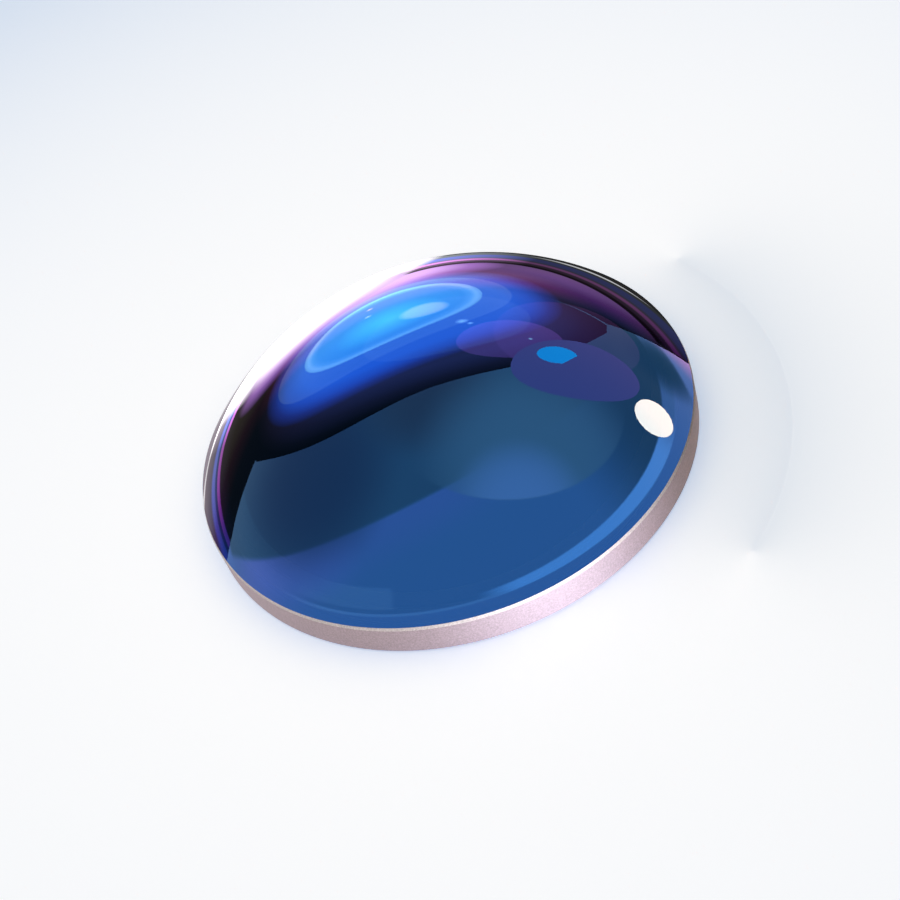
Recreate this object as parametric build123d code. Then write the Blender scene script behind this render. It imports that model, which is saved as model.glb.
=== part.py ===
"""Plano-convex lens: one piece of glass, flat on one side and spherical on the other.

Millimetres. The origin is the centre of the flat (plano) face and +Z is the optical
axis, out through the middle of the convex face. The lens rests on its plano face.
"""

from build123d import *
from math import sqrt
import os

# Driving sizes of the glass. The edge thickness is measured before bevelling.
LENS_DIAMETER = 20.0
SURFACE_RADIUS = 12.92
EDGE_THICKNESS = 1.36

# Protective bevels, each given as the leg it takes off both of the faces that meet there.
PLANO_BEVEL = 0.10
CONVEX_BEVEL = 0.07

# Worked out from the sizes above. The sag is the rise of the convex face from its rim
# to its vertex.
LENS_RADIUS = LENS_DIAMETER / 2
SAG = SURFACE_RADIUS - sqrt(SURFACE_RADIUS**2 - LENS_RADIUS**2)
CENTRE_THICKNESS = EDGE_THICKNESS + SAG


def turned_blank():
    """The lens with sharp rims, turned from one half of its section.

    The convex face comes from a true arc whose centre lies on the optical axis.
    """
    with BuildPart() as blank:
        with BuildSketch(Plane.XZ):
            with BuildLine():
                plano_face = Line((0, 0), (LENS_RADIUS, 0))
                edge_land = Line(plano_face @ 1, (LENS_RADIUS, EDGE_THICKNESS))
                convex_face = RadiusArc(edge_land @ 1, (0, CENTRE_THICKNESS), -SURFACE_RADIUS)
                Line(convex_face @ 1, plano_face @ 0)
            make_face()
        revolve(axis=Axis.Z)
    return blank.part


def edge_rims(part):
    """The two circles that bound the cylindrical edge, the plano one first."""
    edge_land = part.faces().filter_by(GeomType.CYLINDER)[0]
    return edge_land.edges().filter_by(GeomType.CIRCLE).sort_by(Axis.Z)


def bevelled(blank):
    """The lens with both rims broken, so that the glass doesn't chip there."""
    plano_side_done = chamfer(edge_rims(blank)[0], length=PLANO_BEVEL)
    return chamfer(edge_rims(plano_side_done)[-1], length=CONVEX_BEVEL)


lens = bevelled(turned_blank())

os.makedirs("parts", exist_ok=True)
export_step(lens, "parts/lens.step")

print(f"centre thickness {CENTRE_THICKNESS:.3f} mm, sag {SAG:.3f} mm")
print(f"volume {lens.volume:.1f} mm3, {len(lens.faces())} faces, {len(lens.solids())} solid")
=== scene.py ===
"""A coated plano-convex lens lying on its flat face on a white table, in a small light set."""

import bpy
from math import asin, cos, degrees, hypot, pi, radians, sin, sqrt
from mathutils import Matrix, Vector


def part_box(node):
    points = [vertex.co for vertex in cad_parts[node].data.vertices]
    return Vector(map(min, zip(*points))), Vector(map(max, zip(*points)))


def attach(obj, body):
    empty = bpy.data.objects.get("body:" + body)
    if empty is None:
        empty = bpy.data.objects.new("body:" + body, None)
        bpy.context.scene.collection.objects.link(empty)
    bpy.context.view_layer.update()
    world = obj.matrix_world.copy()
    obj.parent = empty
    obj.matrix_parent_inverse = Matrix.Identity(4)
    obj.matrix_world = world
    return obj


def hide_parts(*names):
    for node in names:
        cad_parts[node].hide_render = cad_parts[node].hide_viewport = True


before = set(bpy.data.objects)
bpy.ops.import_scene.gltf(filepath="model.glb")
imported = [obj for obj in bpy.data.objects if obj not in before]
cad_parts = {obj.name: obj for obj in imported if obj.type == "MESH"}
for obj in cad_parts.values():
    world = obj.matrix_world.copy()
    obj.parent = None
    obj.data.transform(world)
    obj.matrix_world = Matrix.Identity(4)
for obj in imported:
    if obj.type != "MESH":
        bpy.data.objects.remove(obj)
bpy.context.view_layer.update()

MM = 0.001

# The lens. Its radius and centre thickness come from the frame.
low_corner, high_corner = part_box("lens")
LENS_RADIUS = high_corner.x
CENTRE_THICKNESS = high_corner.z
SURFACE_RADIUS = 12.92 * MM
PLANO_BEVEL = 0.10 * MM
CONVEX_BEVEL = 0.07 * MM
SPHERE_CENTRE = CENTRE_THICKNESS - SURFACE_RADIUS
EDGE_THICKNESS = SPHERE_CENTRE + sqrt(SURFACE_RADIUS**2 - LENS_RADIUS**2)
GLASS_IOR = 1.5168
LATHE_STEPS = 256
ARC_STEPS = 72

# The camera, from the outline of the lens in the photograph.
AIM_POINT = Vector((-0.034, 0, -0.234)) * MM
CAMERA_DISTANCE = 57.51 * MM
CAMERA_ELEVATION = radians(44.2)
CAMERA_ROLL = radians(20.52)
CAMERA_LENS = 57.0


def deselect_all():
    bpy.ops.object.select_all(action="DESELECT")


def edit(obj, select_mode="VERT"):
    """Opens one object in edit mode with everything in it selected."""
    deselect_all()
    obj.select_set(True)
    bpy.context.view_layer.objects.active = obj
    bpy.ops.object.mode_set(mode="EDIT")
    bpy.ops.mesh.select_mode(type=select_mode)
    bpy.ops.mesh.select_all(action="SELECT")


def leave_edit():
    bpy.ops.object.mode_set(mode="OBJECT")


def select_points(obj, wanted):
    """Selects in edit mode only the points for which wanted(place) is true."""
    bpy.ops.mesh.select_all(action="DESELECT")
    bpy.ops.object.mode_set(mode="OBJECT")
    for point in obj.data.vertices:
        point.select = wanted(point.co)
    bpy.ops.object.mode_set(mode="EDIT")


# The lens is turned: half of its section is drawn in the XZ plane and spun about the axis.


def section_arc():
    """The convex face from the axis to the convex bevel: one point swung about the sphere's centre."""
    rim_angle = asin(LENS_RADIUS / SURFACE_RADIUS) - CONVEX_BEVEL / SURFACE_RADIUS
    deselect_all()
    bpy.ops.mesh.primitive_plane_add(size=LENS_RADIUS, location=(0, 0, CENTRE_THICKNESS))
    arc = bpy.context.object
    bpy.ops.object.transform_apply(location=True, rotation=True, scale=True)
    edit(arc)
    bpy.ops.mesh.merge(type="CENTER")
    bpy.ops.mesh.select_all(action="SELECT")
    bpy.ops.mesh.spin(steps=ARC_STEPS, angle=rim_angle, center=(0, 0, SPHERE_CENTRE), axis=(0, -1, 0))
    return arc, (SURFACE_RADIUS * sin(rim_angle), SPHERE_CENTRE + SURFACE_RADIUS * cos(rim_angle))


def polished_lens():
    lens, corner = section_arc()
    lens.name = lens.data.name = "coated_lens"
    lowest = corner[1] + 0.01 * MM
    select_points(lens, lambda place: place.z < lowest)
    section = [
        (LENS_RADIUS, EDGE_THICKNESS - CONVEX_BEVEL),
        (LENS_RADIUS, PLANO_BEVEL),
        (LENS_RADIUS - PLANO_BEVEL, 0),
        (LENS_RADIUS * 0.6, 0),
        (0, 0),
    ]
    for radius, height in section:
        move = (radius - corner[0], 0, height - corner[1])
        bpy.ops.mesh.extrude_vertices_move(TRANSFORM_OT_translate={"value": move})
        corner = radius, height
    bpy.ops.mesh.select_all(action="SELECT")
    bpy.ops.mesh.spin(steps=LATHE_STEPS, angle=2 * pi, center=(0, 0, 0), axis=(0, 0, 1))
    bpy.ops.mesh.select_all(action="SELECT")
    bpy.ops.mesh.remove_doubles(threshold=0.0002 * MM)
    bpy.ops.mesh.normals_make_consistent(inside=False)
    leave_edit()
    bpy.ops.object.shade_smooth_by_angle(angle=radians(12))
    return lens


# Materials of the lens.


def new_material(name):
    material = bpy.data.materials.new(name)
    material.use_nodes = True
    tree = material.node_tree
    return material, tree.nodes, tree.links, tree.nodes["Principled BSDF"]


def put(node, **values):
    for name, value in values.items():
        node.inputs[name.replace("_", " ")].default_value = value


def colour_ramp(nodes, stops):
    ramp = nodes.new("ShaderNodeValToRGB")
    elements = ramp.color_ramp.elements
    while len(elements) < len(stops):
        elements.new(0.5)
    for element, (position, colour) in zip(elements, stops):
        element.position = position
        element.color = (*colour, 1)
    return ramp


# What the anti-reflection coating still reflects, by the plain glass's own Fresnel value.
COATING_STOPS = [
    (0.045, (0.50, 2.30, 8.2)),
    (0.100, (0.50, 2.30, 8.2)),
    (0.125, (7.00, 3.50, 11.0)),
    (0.150, (14.0, 12.0, 17.0)),
    (0.200, (20.0, 19.0, 20.0)),
]


def coat(nodes, links, glass):
    fresnel = nodes.new("ShaderNodeFresnel")
    fresnel.inputs["IOR"].default_value = GLASS_IOR
    ramp = colour_ramp(nodes, COATING_STOPS)
    links.new(fresnel.outputs["Fac"], ramp.inputs["Fac"])
    links.new(ramp.outputs["Color"], glass.inputs["Specular Tint"])


def dome_material():
    material, nodes, links, glass = new_material("coated convex face")
    put(glass, Base_Color=(0.36, 0.42, 0.50, 1), Roughness=0.0, IOR=GLASS_IOR, Transmission_Weight=1.0)
    coat(nodes, links, glass)
    return material


def plano_material():
    material, nodes, links, glass = new_material("coated plano face")
    # The black base colour lets no light through the flat face: painted shade for the dark seen through the
    # lens.
    put(glass, Base_Color=(0, 0, 0, 1), Roughness=0.0, IOR=GLASS_IOR, Transmission_Weight=1.0)
    coat(nodes, links, glass)
    return material


EDGE_COLOUR = (0.54, 0.45, 0.57)
# The convex bevel is painted paler than the edge: a painted highlight, the bright line along the rim.
BEVEL_HIGHLIGHT_COLOUR = (0.86, 0.80, 0.86)
# Painted shade: the colour of the ground edge where it is seen from inside the glass.
EDGE_INSIDE_SHADE = (0.05, 0.07, 0.10)


def edge_material(name, tone):
    """Fine-ground glass: grained outside, and painted dark, as shade, where it is seen from inside the
    glass.
    """
    material, nodes, links, ground = new_material(name)
    put(ground, Roughness=0.6, IOR=GLASS_IOR)
    place = nodes.new("ShaderNodeTexCoord")
    grain = nodes.new("ShaderNodeTexNoise")
    put(grain, Scale=16000.0, Detail=3.0, Roughness=0.7)
    links.new(place.outputs["Object"], grain.inputs["Vector"])
    shade = colour_ramp(nodes, [(0.34, tuple(0.8 * level for level in tone)), (0.5, tone),
                                (0.66, tuple(1.2 * level for level in tone))])
    links.new(grain.outputs["Fac"], shade.inputs["Fac"])
    # Seen from inside the glass, the edge takes the dark colour of painted shade.
    side = nodes.new("ShaderNodeNewGeometry")
    colour = nodes.new("ShaderNodeMix")
    colour.data_type = "RGBA"
    colour.inputs[7].default_value = (*EDGE_INSIDE_SHADE, 1)
    links.new(side.outputs["Backfacing"], colour.inputs["Factor"])
    links.new(shade.outputs["Color"], colour.inputs[6])
    links.new(colour.outputs[2], ground.inputs["Base Color"])
    bump = nodes.new("ShaderNodeBump")
    put(bump, Strength=0.6, Distance=0.01 * MM)
    links.new(grain.outputs["Fac"], bump.inputs["Height"])
    links.new(bump.outputs["Normal"], ground.inputs["Normal"])
    return material


def dress(lens):
    ground = edge_material("fine-ground edge", EDGE_COLOUR)
    # The convex bevel takes the paler colour, a painted highlight.
    bevel = edge_material("fine-ground bevel with painted highlight", BEVEL_HIGHLIGHT_COLOUR)
    for material in (dome_material(), plano_material(), ground, bevel):
        lens.data.materials.append(material)
    for face in lens.data.polygons:
        if face.center.z < 0.001 * MM:
            face.material_index = 1
        elif hypot(face.center.x, face.center.y) > LENS_RADIUS - 0.6 * PLANO_BEVEL and \
                face.center.z < EDGE_THICKNESS:
            face.material_index = 3 if face.center.z > EDGE_THICKNESS - CONVEX_BEVEL else 2


lens = polished_lens()
dress(lens)
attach(lens, "root")
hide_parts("lens")


# The light set: first the cards and lamps that only the polished faces reflect.


def seen_only_by(obj, glossy=False, transmission=False):
    obj.visible_camera = False
    obj.visible_diffuse = False
    obj.visible_shadow = False
    obj.visible_volume_scatter = False
    obj.visible_glossy = glossy
    obj.visible_transmission = transmission


def bare_material(name):
    material = bpy.data.materials.new(name)
    material.use_nodes = True
    material.cycles.emission_sampling = "NONE"
    nodes = material.node_tree.nodes
    nodes.clear()
    out = nodes.new("ShaderNodeOutputMaterial")
    return material, nodes, material.node_tree.links, out


def calculate(nodes, links, operation, first, second, clamp=False):
    node = nodes.new("ShaderNodeMath")
    node.operation = operation
    node.use_clamp = clamp
    for socket, value in zip(node.inputs, (first, second)):
        if isinstance(value, (int, float)):
            socket.default_value = value
        else:
            links.new(value, socket)
    return node.outputs["Value"]


def blend(nodes, links, mask, first, second):
    """A colour that goes from the first to the second where the mask is 1."""
    node = nodes.new("ShaderNodeMix")
    node.data_type = "RGBA"
    links.new(mask, node.inputs["Factor"])
    for socket, value in zip((node.inputs[6], node.inputs[7]), (first, second)):
        if isinstance(value, tuple):
            socket.default_value = (*value, 1)
        else:
            links.new(value, socket)
    return node.outputs[2]


def plain_card_paint(name, colour, strength):
    material, nodes, links, out = bare_material(name)
    light = nodes.new("ShaderNodeEmission")
    put(light, Color=(*colour, 1), Strength=strength)
    links.new(light.outputs["Emission"], out.inputs["Surface"])
    return material


GLOW_STRENGTH = 4.0
LOW_SHARE = (0.12, 0.75, 0.85)


def glow_paint(name, stops, low=None):
    """Light added to what lies behind it, graded from the middle of a round card to its rim.

    The stops are light levels. Low is the share of each colour left at the card's lower end.
    """
    material, nodes, links, out = bare_material(name)
    place = nodes.new("ShaderNodeTexCoord")
    length = nodes.new("ShaderNodeVectorMath")
    length.operation = "LENGTH"
    stops = [(at, tuple(level / GLOW_STRENGTH for level in colour)) for at, colour in stops]
    ramp = colour_ramp(nodes, stops)
    light = nodes.new("ShaderNodeEmission")
    light.inputs["Strength"].default_value = GLOW_STRENGTH
    clear = nodes.new("ShaderNodeBsdfTransparent")
    both = nodes.new("ShaderNodeAddShader")
    links.new(place.outputs["Object"], length.inputs[0])
    links.new(length.outputs["Value"], ramp.inputs["Fac"])
    colour = ramp.outputs["Color"]
    if low:
        split = nodes.new("ShaderNodeSeparateXYZ")
        links.new(place.outputs["Object"], split.inputs["Vector"])
        fall = colour_ramp(nodes, [(0.0, low), (0.75, (1, 1, 1))])
        links.new(calculate(nodes, links, "ADD", split.outputs["Y"], 1.0, clamp=True), fall.inputs["Fac"])
        dimmed = nodes.new("ShaderNodeVectorMath")
        dimmed.operation = "MULTIPLY"
        links.new(colour, dimmed.inputs[0])
        links.new(fall.outputs["Color"], dimmed.inputs[1])
        colour = dimmed.outputs["Vector"]
    links.new(colour, light.inputs["Color"])
    links.new(light.outputs["Emission"], both.inputs[0])
    links.new(clear.outputs["BSDF"], both.inputs[1])
    links.new(both.outputs["Shader"], out.inputs["Surface"])
    return material


def direction(azimuth, elevation):
    a, e = radians(azimuth), radians(elevation)
    return Vector((sin(a) * cos(e), cos(a) * cos(e), sin(e)))


def facing(azimuth, elevation, turn=0.0):
    """How a card is turned that faces the lens from that direction."""
    level = direction(azimuth, elevation).to_track_quat("-Z", "Y").to_matrix()
    return level @ Matrix.Rotation(radians(turn), 3, "Z")


def disc(name, place, frame_of_card, half_wide, half_high, paint):
    deselect_all()
    bpy.ops.mesh.primitive_circle_add(vertices=128, radius=1, fill_type="NGON")
    card = bpy.context.object
    card.name = name
    card.scale = (half_wide, half_high, 1)
    card.rotation_mode = "QUATERNION"
    card.rotation_quaternion = frame_of_card.to_quaternion()
    card.location = place
    card.data.materials.append(paint)
    seen_only_by(card, glossy=True)


LAMP_DISTANCE = 1.2


def lamp(name, azimuth, elevation, half_wide, half_high, turn, paint):
    """A round lamp. Its half sizes are tangents of the angles seen from the lens."""
    place = direction(azimuth, elevation) * LAMP_DISTANCE
    disc(name, place, facing(azimuth, elevation, turn),
         half_wide * LAMP_DISTANCE, half_high * LAMP_DISTANCE, paint)


OPENING_ELEVATION = 23.0
OPENING_DISTANCE = 1.5


def in_opening(x, y, nearer=0.0):
    """A place on the opening's plane, x and y in units of its distance."""
    axes = facing(0, OPENING_ELEVATION)
    return (direction(0, OPENING_ELEVATION) + axes @ Vector((x, y, 0))) * (OPENING_DISTANCE - nearer)


def opening_lamp(name, x, y, half_wide, half_high, paint, nearer):
    """A round lamp in the opening. The nearer ones shine over the others."""
    distance = OPENING_DISTANCE - nearer
    disc(name, in_opening(x, y, nearer), facing(0, OPENING_ELEVATION),
         half_wide * distance, half_high * distance, paint)


def opening_panel(name, corners, paint):
    """A flat card in the opening with a few straight edges."""
    deselect_all()
    bpy.ops.mesh.primitive_plane_add(size=0.1, location=in_opening(*corners[0]))
    panel = bpy.context.object
    bpy.ops.object.transform_apply(location=True, rotation=True, scale=True)
    panel.name = name
    edit(panel)
    bpy.ops.mesh.merge(type="CENTER")
    for start, end in zip(corners, corners[1:] + corners[:1]):
        step = in_opening(*end) - in_opening(*start)
        bpy.ops.mesh.extrude_vertices_move(TRANSFORM_OT_translate={"value": step})
    bpy.ops.mesh.select_all(action="SELECT")
    bpy.ops.mesh.remove_doubles(threshold=1 * MM)
    bpy.ops.mesh.edge_face_add()
    leave_edit()
    panel.data.materials.append(paint)
    seen_only_by(panel, glossy=True)


# The bowl's place and sizes are shares of the opening's distance.
BOWL_MIDDLE = 0.01
BOWL_HALF_WIDE = 1.085
BOWL_HIGH = 0.965
BOWL_FOOT = 0.10
FOOT_SHARE = 0.94
BOWL_ROUNDNESS = 0.59


def black_flag():
    """The dark opening of the tent: a bowl that flares out to the table on both sides."""
    velvet = plain_card_paint("black velvet", (0.030, 0.028, 0.020), 1.0)
    deselect_all()
    bpy.ops.mesh.primitive_plane_add(size=2)
    bowl = bpy.context.object
    bowl.name = "black_flag"
    edit(bowl)
    select_points(bowl, lambda place: place.y > 0)
    bpy.ops.mesh.bevel(affect="VERTICES", offset=0.999, segments=32, profile=BOWL_ROUNDNESS)
    bpy.ops.mesh.select_all(action="SELECT")
    bpy.ops.transform.resize(value=(BOWL_HALF_WIDE, BOWL_HIGH, 1), center_override=(0, 0, 0))
    select_points(bowl, lambda place: place.y < -0.01)
    bpy.ops.transform.resize(value=(FOOT_SHARE, BOWL_FOOT / BOWL_HIGH, 1), center_override=(0, 0, 0))
    leave_edit()
    bowl.scale = (OPENING_DISTANCE, OPENING_DISTANCE, 1)
    bowl.rotation_mode = "QUATERNION"
    bowl.rotation_quaternion = facing(0, OPENING_ELEVATION).to_quaternion()
    bowl.location = in_opening(BOWL_MIDDLE, 0)
    bowl.data.materials.append(velvet)
    seen_only_by(bowl, glossy=True)
    left_slope = [(-1.03, -0.02), (-1.26, -0.09), (-1.49, -0.18), (-1.87, -0.355), (-2.3, -0.65)]
    right_slope = [(1.8, -0.93), (1.435, -0.48), (1.245, -0.30), (1.02, -0.12)]
    opening_panel("skirt", left_slope + [(-2.3, -1.4), (1.8, -1.4)] + right_slope, velvet)


def opening_lights():
    """The lamps in the opening, from the widest and dimmest to the smallest."""
    clear = (0, 0, 0)
    opening_lamp("dusk_glow", 0.10, 0.28, 1.12, 0.76, glow_paint("dusk glow", [
        (0.0, (0.26, 0.14, 0.20)), (0.55, (0.34, 0.15, 0.20)), (0.78, (0.14, 0.05, 0.06)),
        (0.93, (0.03, 0.010, 0.010)), (1.0, clear)]), 0.01)
    opening_lamp("lilac_glow", 0.55, -0.48, 0.88, 0.36, glow_paint("lilac glow", [
        (0.0, (0.14, 0.055, 0.24)), (0.5, (0.11, 0.05, 0.17)), (0.85, (0.07, 0.035, 0.07)),
        (1.0, clear)]), 0.012)
    opening_lamp("pink_fade", -0.17, -0.52, 0.52, 0.30, glow_paint("pink fade", [
        (0.0, (1.2, 1.0, 1.4)), (0.55, (0.9, 0.55, 1.1)), (0.78, (0.30, 0.14, 0.45)), (1.0, clear)]), 0.015)
    opening_lamp("blue_glow", -0.02, 0.12, 0.78, 0.54, glow_paint("blue glow", [
        (0.0, (0.04, 0.85, 1.80)), (0.62, (0.03, 0.72, 1.65)), (0.77, (0.02, 0.42, 1.15)),
        (0.89, (0.02, 0.12, 0.42)), (1.0, clear)], low=(0.6, 0.9, 0.85)), 0.02)
    opening_lamp("side_lobe", 1.07, 0.35, 0.64, 0.55, glow_paint("side lobe", [
        (0.0, (0.34, 0.03, 0.08)), (1.0, (0.30, 0.05, 0.08))]), 0.03)
    opening_lamp("upper_lobe", 0.20, 0.29, 0.42, 0.30, glow_paint("upper lobe", [
        (0.0, (0.16, 0.10, 0.03)), (1.0, (0.18, 0.12, 0.05))]), 0.04)
    opening_lamp("second_disc", -0.09, 0.02, 0.55, 0.36, glow_paint("second disc", [
        (0.0, (0.22, 0.30, 0.10)), (0.85, (0.24, 0.22, 0.05)), (1.0, (0.34, 0.26, 0.08))],
        low=LOW_SHARE), 0.05)
    opening_lamp("inner_disc", -0.055, 0.005, 0.385, 0.275, glow_paint("inner disc", [
        (0.0, (0.02, 1.20, 0.60)), (0.8, (0.00, 0.85, 0.45)), (0.88, (0.40, 1.2, 0.60)),
        (0.94, (1.5, 1.9, 0.8)), (1.0, (0.8, 1.1, 0.35))], low=LOW_SHARE), 0.06)
    opening_lamp("cyan_heart", -0.05, 0.05, 0.24, 0.16, glow_paint("cyan heart", [
        (0.0, (0.45, 1.9, 0.45)), (1.0, clear)]), 0.07)
    opening_lamp("white_spot", 0.095, 0.08, 0.105, 0.072, glow_paint("white spot", [
        (0.0, (3.2, 1.5, 0.6)), (0.75, (2.8, 1.3, 0.5)), (1.0, (0.3, 0.4, 0.2))]), 0.08)
    opening_lamp("small_purple", 0.59, 0.50, 0.36, 0.235, glow_paint("small purple", [
        (0.0, (0.85, 0.14, 0.28)), (1.0, (0.92, 0.14, 0.26))]), 0.09)
    for place, size in (((0.258, 0.28), 0.026), ((0.30, 0.31), 0.014), ((-0.11, -0.09), 0.012),
                        ((-0.09, -0.17), 0.010), ((0.68, 0.465), 0.014)):
        opening_lamp("pilot_light", *place, size * 1.4, size, glow_paint("pilot light", [
            (0.0, (3.4, 3.0, 1.4)), (1.0, clear)]), 0.10)


def side_lamps():
    lamp("large_purple", 62.9, 37.7, 0.221, 0.362, 18.1,
         plain_card_paint("large purple", (1.12, 0.46, 0.57), 1.0))
    lamp("azure_lamp", 54.5, 38.9, 0.066, 0.105, 26.8,
         plain_card_paint("azure lamp", (0.09, 1.0, 0.9), 2.0))
    lamp("warm_lamp", 81.7, 17.9, 0.105, 0.123, -17.6,
         plain_card_paint("warm lamp", (1, 0.285, 0.084), 31.0))


TENT_RADIUS = 6.0


class TentLightPaint:
    """The tent's paint: round patches of painted light, which the lens mirrors, each given by its middle
    and its half angle.
    """

    def __init__(self, name):
        self.material, self.nodes, self.links, self.out = bare_material(name)
        place = self.nodes.new("ShaderNodeTexCoord")
        self.way = self.nodes.new("ShaderNodeVectorMath")
        self.way.operation = "NORMALIZE"
        self.links.new(place.outputs["Object"], self.way.inputs[0])

    def patch(self, azimuth, elevation, half_angle, soft=0.4):
        """1 inside the patch and 0 outside, over an edge as soft as the given angle."""
        dot = self.nodes.new("ShaderNodeVectorMath")
        dot.operation = "DOT_PRODUCT"
        dot.inputs[1].default_value = direction(azimuth, elevation)
        self.links.new(self.way.outputs["Vector"], dot.inputs[0])
        edge = self.nodes.new("ShaderNodeMapRange")
        edge.interpolation_type = "SMOOTHSTEP"
        edge.inputs["From Min"].default_value = cos(radians(half_angle + soft))
        edge.inputs["From Max"].default_value = cos(radians(max(0.0, half_angle - soft)))
        self.links.new(dot.outputs["Value"], edge.inputs["Value"])
        return edge.outputs["Result"]

    def both(self, first, second):
        return calculate(self.nodes, self.links, "MULTIPLY", first, second)

    def outside(self, mask):
        return calculate(self.nodes, self.links, "SUBTRACT", 1.0, mask)

    # Paints one patch of light, which shows only in the lens's reflection.
    def paint_reflected_light(self, mask, below, colour):
        return blend(self.nodes, self.links, mask, below, colour)


def tent_paint():
    """Painted light on the tent, which the lens mirrors: pale, with a dim ceiling, hooped by a ring of
    light; dark for light that left the glass.
    """
    cloth = TentLightPaint("tent painted light")
    hoop = cloth.patch(0, 69.5, 77.7, 0.3)
    hoop_inside = cloth.patch(-3, 70.5, 73.7, 0.4)
    colour = cloth.paint_reflected_light(cloth.patch(0, 69.5, 76.9, 0.3), (1.02, 0.98, 0.94), (0.83, 0.87, 0.80))
    band = cloth.both(hoop, cloth.outside(hoop_inside))
    colour = cloth.paint_reflected_light(cloth.both(band, cloth.patch(132, 25, 44, 9)), colour, (2.0, 1.95, 1.65))
    line = cloth.both(hoop, cloth.outside(cloth.patch(0, 69.5, 76.8, 0.3)))
    colour = cloth.paint_reflected_light(cloth.both(line, cloth.patch(-130, 25, 42, 10)), colour, (1.5, 1.3, 1.1))
    left_arc = cloth.patch(0.9, 68.8, 68.8, 0.3)
    pale = cloth.both(cloth.both(cloth.patch(0, 69.5, 75.3, 0.3), cloth.outside(left_arc)),
                      cloth.patch(-112, 27, 19, 1.0))
    colour = cloth.paint_reflected_light(pale, colour, (1.15, 1.05, 0.90))
    ceiling = cloth.patch(-10, 39.9, 63.9, 1.0)
    rose = cloth.both(cloth.outside(ceiling), cloth.patch(-10, 39.9, 74, 9))
    colour = cloth.paint_reflected_light(cloth.both(rose, cloth.patch(-110, 45, 50, 20)), colour, (1.05, 0.84, 0.88))
    colour = cloth.paint_reflected_light(cloth.both(rose, cloth.patch(-90, 20, 18, 14)), colour, (1.60, 1.04, 1.20))
    colour = cloth.paint_reflected_light(ceiling, colour, (0.56, 0.62, 0.45))
    colour = cloth.paint_reflected_light(cloth.both(ceiling, left_arc), colour, (0.50, 0.53, 0.39))
    colour = cloth.paint_reflected_light(cloth.patch(-68, 42, 16, 20), colour, (0.33, 0.29, 0.25))
    # Painted shade, low on the right of the tent.
    shade = cloth.both(cloth.patch(72, 8, 38, 22), hoop_inside)
    colour = cloth.paint_reflected_light(shade, colour, (0.33, 0.40, 0.31))
    colour = cloth.paint_reflected_light(cloth.patch(60, 5, 5, 8), colour, (0.17, 0.32, 0.28))
    colour = cloth.paint_reflected_light(cloth.patch(0, 70, 12, 14), colour, (0.46, 0.33, 0.24))
    light_patch = cloth.patch(58.5, 65.2, 39.5, 0.5)
    colour = cloth.paint_reflected_light(cloth.both(light_patch, cloth.patch(115, 62, 16, 26)), colour, (1.05, 0.90, 0.58))
    colour = cloth.paint_reflected_light(cloth.both(light_patch, cloth.patch(150, 56, 4, 22)), colour, (1.75, 1.30, 1.05))
    # Below the horizon the tent is painted white: a painted reflection of the table.
    colour = cloth.paint_reflected_light(cloth.outside(cloth.patch(0, 90, 91.0, 1.0)), colour, (1, 1, 1))
    material, nodes, links = cloth.material, cloth.nodes, cloth.links
    path = nodes.new("ShaderNodeLightPath")
    inside = calculate(nodes, links, "GREATER_THAN", path.outputs["Diffuse Depth"], 0.5)
    reflected = calculate(nodes, links, "SUBTRACT", 1.0, path.outputs["Is Transmission Ray"])
    light = nodes.new("ShaderNodeEmission")
    links.new(colour, light.inputs["Color"])
    links.new(calculate(nodes, links, "MAXIMUM", inside, reflected), light.inputs["Strength"])
    links.new(light.outputs["Emission"], cloth.out.inputs["Surface"])
    return material


def tent():
    deselect_all()
    bpy.ops.mesh.primitive_uv_sphere_add(segments=64, ring_count=32, radius=TENT_RADIUS)
    cloth = bpy.context.object
    cloth.name = "tent"
    cloth.data.materials.append(tent_paint())
    seen_only_by(cloth, glossy=True, transmission=True)


TABLE_RADIUS = 0.9
TABLE_GLOW = (0.20, 0.36, 0.58, 1)


def table():
    """A white table, whose cool glow and warm lamp make white together and keep a faint shadow."""
    deselect_all()
    bpy.ops.mesh.primitive_circle_add(vertices=96, radius=TABLE_RADIUS, fill_type="NGON",
                                      location=(0, 0, -0.01 * MM))
    top = bpy.context.object
    top.name = "table"
    material, nodes, links, paint = new_material("white table")
    put(paint, Base_Color=(0.92, 0.91, 0.89, 1), Roughness=0.8, Specular_IOR_Level=0.0)
    path = nodes.new("ShaderNodeLightPath")
    seen = calculate(nodes, links, "ADD", path.outputs["Is Camera Ray"], path.outputs["Is Glossy Ray"])
    seen = calculate(nodes, links, "ADD", seen, path.outputs["Is Transmission Ray"], clamp=True)
    glow = nodes.new("ShaderNodeEmission")
    glow.inputs["Color"].default_value = TABLE_GLOW
    links.new(seen, glow.inputs["Strength"])
    both = nodes.new("ShaderNodeAddShader")
    links.new(paint.outputs["BSDF"], both.inputs[0])
    links.new(glow.outputs["Emission"], both.inputs[1])
    links.new(both.outputs["Shader"], nodes["Material Output"].inputs["Surface"])
    top.data.materials.append(material)
    top.visible_glossy = False
    return top


WALL_RADIUS = 13 * MM
WALL_HEIGHT = 6 * MM
WALL_SINKS_FROM = 20.0
WALL_SINKS_BY = 0.024 * MM
LEFT_BANDS_LEVEL_TO = -62.0
LEFT_BANDS_RISE_BY = 0.016 * MM
SIDES_MEET = (4, 6)
BOARD_MIDDLE = -20.0
BOARD_HALF_WIDE = 34.0
BOARD_HIGH = 6.3 * MM
# How far the slanted ends of the wall go up for each step back.
WALL_LEAN = 1.12


def wall_share(millimetres):
    """A height on the near wall as a share of the wall's own."""
    return millimetres * MM / WALL_HEIGHT


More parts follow.
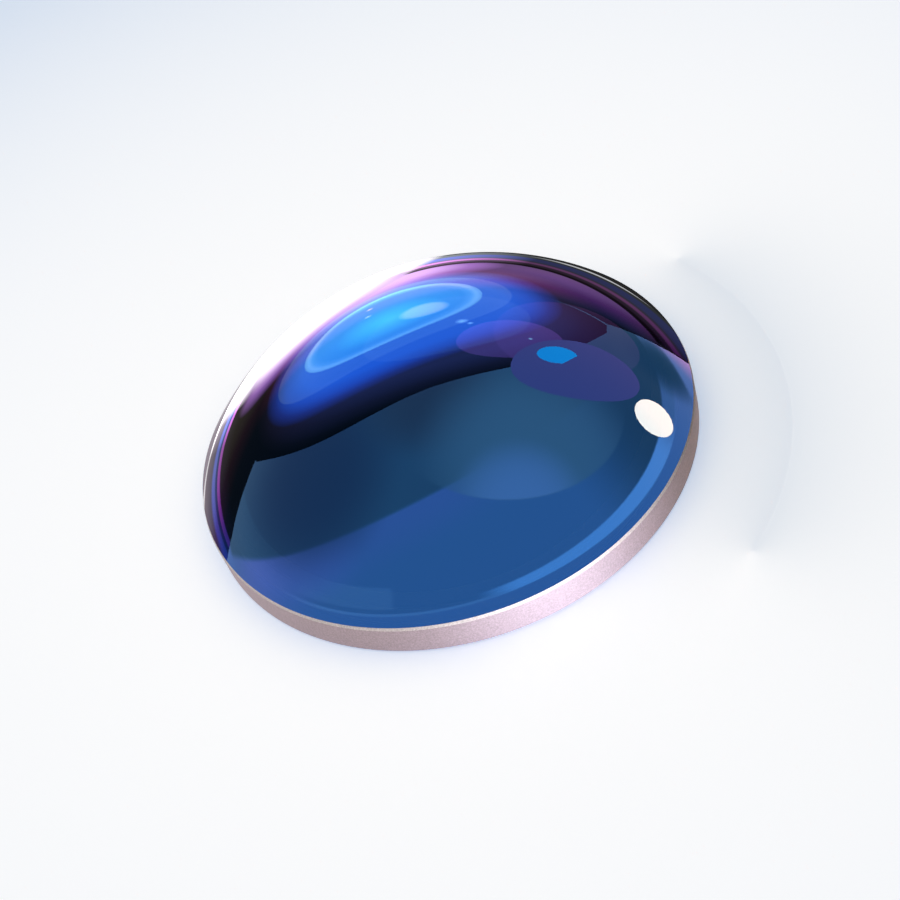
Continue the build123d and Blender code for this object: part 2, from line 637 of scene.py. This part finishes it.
def wall_paint():
    """Bands of painted light and shade along a low wall, which only the lens mirrors, and the white arch of
    a board in front of its middle.

    Azimuths are in degrees. The bands change their height along the wall by so much a degree.
    """
    material, nodes, links, out = bare_material("near wall")
    place = nodes.new("ShaderNodeTexCoord")
    split = nodes.new("ShaderNodeSeparateXYZ")
    links.new(place.outputs["Object"], split.inputs["Vector"])

    def sums(operation, first, second, clamp=False):
        return calculate(nodes, links, operation, first, second, clamp)

    def share(value, low, high):
        """How far the value is from low to high, from 0 to 1."""
        return sums("DIVIDE", sums("SUBTRACT", value, low), high - low, clamp=True)

    azimuth = sums("MULTIPLY", sums("ARCTAN2", split.outputs["X"], split.outputs["Y"]), degrees(1))
    height = sums("DIVIDE", split.outputs["Z"], WALL_HEIGHT)
    sunk = sums("ADD", height, sums("MULTIPLY", sums("SUBTRACT", azimuth, WALL_SINKS_FROM),
                                       WALL_SINKS_BY / WALL_HEIGHT))
    risen = sums("SUBTRACT", azimuth, LEFT_BANDS_LEVEL_TO)
    risen = sums("MULTIPLY", risen, -LEFT_BANDS_RISE_BY / WALL_HEIGHT)
    risen = sums("ADD", height, sums("MINIMUM", risen, 0.0))
    left = colour_ramp(nodes, [(wall_share(z), colour) for z, colour in [
        (0.10, (0.9, 0.9, 0.9)), (0.22, (0.22, 0.19, 0.22)), (0.95, (0.14, 0.13, 0.16)),
        (1.15, (0.16, 0.20, 0.58)), (1.38, (0.15, 0.19, 0.52)), (1.48, (0.06, 0.09, 0.19)),
        (1.64, (0.06, 0.08, 0.18)), (1.72, (0.40, 0.13, 0.46)), (1.92, (0.36, 0.11, 0.42)),
        (2.02, (0.040, 0.036, 0.037)), (3.60, (0.045, 0.042, 0.038))]])
    links.new(risen, left.inputs["Fac"])
    right = colour_ramp(nodes, [(wall_share(z), colour) for z, colour in [
        (0.25, (0.01, 0.01, 0.01)), (0.80, (0.030, 0.034, 0.036)), (1.40, (0.030, 0.034, 0.036)),
        (1.65, (0.028, 0.034, 0.10)), (2.30, (0.028, 0.034, 0.09)), (2.55, (0.03, 0.03, 0.04)),
        (2.78, (0.12, 0.045, 0.13)), (2.98, (0.11, 0.042, 0.11)), (3.10, (0.030, 0.020, 0.034)),
        (3.42, (0.020, 0.014, 0.022)), (3.50, (0.008, 0.006, 0.008)), (3.80, (0.008, 0.006, 0.008))]])
    links.new(sunk, right.inputs["Fac"])
    streak = sums("MULTIPLY", share(sunk, wall_share(1.15), wall_share(1.0)),
                  share(sunk, wall_share(0.65), wall_share(0.8)))
    streak = sums("MULTIPLY", streak, share(azimuth, 33, 42))
    lighter = nodes.new("ShaderNodeVectorMath")
    lighter.operation = "SCALE"
    links.new(right.outputs["Color"], lighter.inputs[0])
    links.new(sums("ADD", sums("MULTIPLY", share(azimuth, 36, 4), 14.0), 1.0), lighter.inputs["Scale"])
    right_side = blend(nodes, links, streak, lighter.outputs["Vector"], (0.55, 0.57, 0.58))
    lift = sums("MULTIPLY", share(azimuth, -62, -36), 5.0)
    lift = sums("ADD", sums("MULTIPLY", lift, share(risen, wall_share(2.05), wall_share(1.95))), 1.0)
    left_side = nodes.new("ShaderNodeVectorMath")
    left_side.operation = "SCALE"
    links.new(left.outputs["Color"], left_side.inputs[0])
    links.new(lift, left_side.inputs["Scale"])
    colour = blend(nodes, links, share(azimuth, *SIDES_MEET), left_side.outputs["Vector"], right_side)
    across = sums("POWER", sums("DIVIDE", sums("SUBTRACT", azimuth, BOARD_MIDDLE), BOARD_HALF_WIDE), 2.0)
    upwards = sums("POWER", sums("DIVIDE", height, BOARD_HIGH / WALL_HEIGHT), 2.0)
    board = share(sums("ADD", across, upwards), 1.0, 0.35)
    colour = blend(nodes, links, board, colour, (3.5, 3.3, 3.6))
    light = nodes.new("ShaderNodeEmission")
    links.new(colour, light.inputs["Color"])
    clear = nodes.new("ShaderNodeBsdfTransparent")
    over = nodes.new("ShaderNodeMixShader")
    left_top = share(risen, wall_share(3.0), wall_share(2.1))
    right_top = share(sunk, wall_share(3.85), wall_share(3.75))
    top = blend(nodes, links, share(azimuth, *SIDES_MEET), left_top, right_top)
    top = sums("MAXIMUM", top, board)
    lean = sums("SUBTRACT", split.outputs["Y"], sums("DIVIDE", split.outputs["Z"], WALL_LEAN))
    left_end = share(lean, -2.35 * MM, -2.30 * MM)
    right_end = share(lean, -0.15 * MM, -0.10 * MM)
    end = blend(nodes, links, share(azimuth, *SIDES_MEET), left_end, right_end)
    links.new(sums("MULTIPLY", top, end), over.inputs["Fac"])
    links.new(clear.outputs["BSDF"], over.inputs[1])
    links.new(light.outputs["Emission"], over.inputs[2])
    links.new(over.outputs["Shader"], out.inputs["Surface"])
    return material


def near_wall():
    """A low wall close behind the lens, cut off along its slanted ends, whose painted light and shade only
    the lens mirrors.
    """
    deselect_all()
    bpy.ops.mesh.primitive_circle_add(vertices=180, radius=WALL_RADIUS)
    wall = bpy.context.object
    wall.name = "near_wall"
    edit(wall, "EDGE")
    bpy.ops.mesh.extrude_edges_move(TRANSFORM_OT_translate={"value": (0, 0, WALL_HEIGHT)})
    bpy.ops.mesh.select_all(action="SELECT")
    bpy.ops.mesh.bisect(plane_co=(0, -3 * MM, 0), plane_no=(0, 1, 0), clear_inner=True)
    leave_edit()
    wall.data.materials.append(wall_paint())
    seen_only_by(wall, glossy=True)


def floor_strip():
    """A flat strip on the table between the lens and the wall, which only the lens mirrors: painted shadow,
    grey at the left, black at the right.
    """
    deselect_all()
    bpy.ops.mesh.primitive_circle_add(vertices=180, radius=WALL_RADIUS)
    strip = bpy.context.object
    strip.name = "floor_strip"
    edit(strip, "EDGE")
    bpy.ops.mesh.extrude_edges_move()
    bpy.ops.transform.resize(value=(0.775, 0.775, 1), center_override=(0, 0, 0))
    bpy.ops.mesh.select_all(action="SELECT")
    bpy.ops.mesh.bisect(plane_co=(0, -1 * MM, 0), plane_no=(0, 1, 0), clear_inner=True)
    leave_edit()
    material, nodes, links, out = bare_material("floor strip")
    place = nodes.new("ShaderNodeTexCoord")
    split = nodes.new("ShaderNodeSeparateXYZ")
    links.new(place.outputs["Object"], split.inputs["Vector"])
    sweep = nodes.new("ShaderNodeMapRange")
    sweep.inputs["From Min"].default_value = -WALL_RADIUS
    sweep.inputs["From Max"].default_value = WALL_RADIUS
    links.new(split.outputs["X"], sweep.inputs["Value"])
    # Grey and black are painted shadow of the table behind the lens, and the white is the table's painted
    # light.
    across = colour_ramp(nodes, [(0.0, (0.30, 0.27, 0.31)), (0.12, (0.34, 0.30, 0.34)), (0.28, (1, 1, 1)),
                                 (0.50, (1, 1, 1)), (0.56, (0.02, 0.02, 0.02))])
    links.new(sweep.outputs["Result"], across.inputs["Fac"])
    light = nodes.new("ShaderNodeEmission")
    links.new(across.outputs["Color"], light.inputs["Color"])
    links.new(light.outputs["Emission"], out.inputs["Surface"])
    strip.data.materials.append(material)
    seen_only_by(strip, glossy=True)


# The lights of the ground edge and the table, none of which is mirrored.

FLAG_RADIUS = 13.5 * MM
FLAG_HEIGHT = 9 * MM
FLAG_AZIMUTH = 102
FLAG_HALF_ANGLE = 38


def side_flag():
    """A low black card at the right, which keeps light off that side of the ground edge."""
    deselect_all()
    bpy.ops.mesh.primitive_circle_add(vertices=180, radius=FLAG_RADIUS)
    flag = bpy.context.object
    flag.name = "side_flag"
    edit(flag, "EDGE")
    bpy.ops.mesh.extrude_edges_move(TRANSFORM_OT_translate={"value": (0, 0, FLAG_HEIGHT)})
    bpy.ops.mesh.select_all(action="SELECT")
    middle = direction(FLAG_AZIMUTH, 0)
    bpy.ops.mesh.bisect(plane_co=middle * FLAG_RADIUS * cos(radians(FLAG_HALF_ANGLE)), plane_no=middle,
                        clear_inner=True)
    leave_edit()
    material, *_, felt = new_material("black felt")
    put(felt, Base_Color=(0.02, 0.02, 0.02, 1), Roughness=1.0, Specular_IOR_Level=0.0)
    flag.data.materials.append(material)
    seen_only_by(flag)
    flag.visible_diffuse = True


def only_lights(obj, *pieces):
    """Keeps a lamp's light off everything but the given pieces."""
    receivers = bpy.data.collections.new(obj.name + "_receivers")
    for piece in pieces:
        receivers.objects.link(piece)
    obj.light_linking.receiver_collection = receivers


def soft_light(name, azimuth, elevation, distance, wide, high, colour, power, pieces):
    """A soft lamp that lights only the given pieces, and isn't seen or mirrored."""
    data = bpy.data.lights.new(name, "AREA")
    data.shape = "ELLIPSE"
    data.size = wide
    data.size_y = high
    data.color = colour
    data.energy = power
    obj = bpy.data.objects.new(name, data)
    bpy.context.scene.collection.objects.link(obj)
    out = direction(azimuth, elevation)
    obj.location = out * distance
    obj.rotation_mode = "QUATERNION"
    obj.rotation_quaternion = out.to_track_quat("Z", "Y")
    obj.visible_camera = False
    obj.visible_glossy = False
    obj.visible_transmission = False
    only_lights(obj, *pieces)


tabletop = table()
tent()
black_flag()
opening_lights()
side_lamps()
near_wall()
floor_strip()
side_flag()
soft_light("front_lamp", azimuth=170, elevation=6, distance=15 * MM, wide=7 * MM, high=2 * MM,
           colour=(1, 1, 1), power=0.0004, pieces=[lens])
soft_light("left_lamp", azimuth=-135, elevation=25, distance=300 * MM, wide=150 * MM, high=150 * MM,
           colour=(0.92, 0.98, 1), power=0.17, pieces=[lens])
soft_light("table_lamp", azimuth=0, elevation=90, distance=40 * MM, wide=120 * MM, high=120 * MM,
           colour=(1.0, 0.76, 0.40), power=0.035, pieces=[tabletop])


WORLD_LIGHT = (0.16, 0.16, 0.18)


def studio_world():
    """White where it is seen, and a soft light of its own level on everything else."""
    world = bpy.data.worlds.new("studio")
    bpy.context.scene.world = world
    world.use_nodes = True
    nodes, links = world.node_tree.nodes, world.node_tree.links
    path = nodes.new("ShaderNodeLightPath")
    seen = calculate(nodes, links, "ADD", path.outputs["Is Camera Ray"], path.outputs["Is Glossy Ray"])
    seen = calculate(nodes, links, "ADD", seen, path.outputs["Is Transmission Ray"], clamp=True)
    colour = blend(nodes, links, seen, WORLD_LIGHT, (1, 1, 1))
    links.new(colour, nodes["Background"].inputs["Color"])


def camera_on_photo():
    data = bpy.data.cameras.new("camera")
    data.lens = CAMERA_LENS
    data.sensor_width = 36.0
    data.clip_start = 5 * MM
    data.clip_end = 5.0
    camera = bpy.data.objects.new("camera", data)
    bpy.context.scene.collection.objects.link(camera)
    bpy.context.scene.camera = camera
    back = Vector((0, -cos(CAMERA_ELEVATION), sin(CAMERA_ELEVATION)))
    camera.location = AIM_POINT + back * CAMERA_DISTANCE
    level = back.to_track_quat("Z", "Y").to_matrix()
    camera.rotation_mode = "QUATERNION"
    camera.rotation_quaternion = (level @ Matrix.Rotation(-CAMERA_ROLL, 3, "Z")).to_quaternion()


studio_world()
camera_on_photo()
bpy.context.scene.view_settings.view_transform = "Standard"
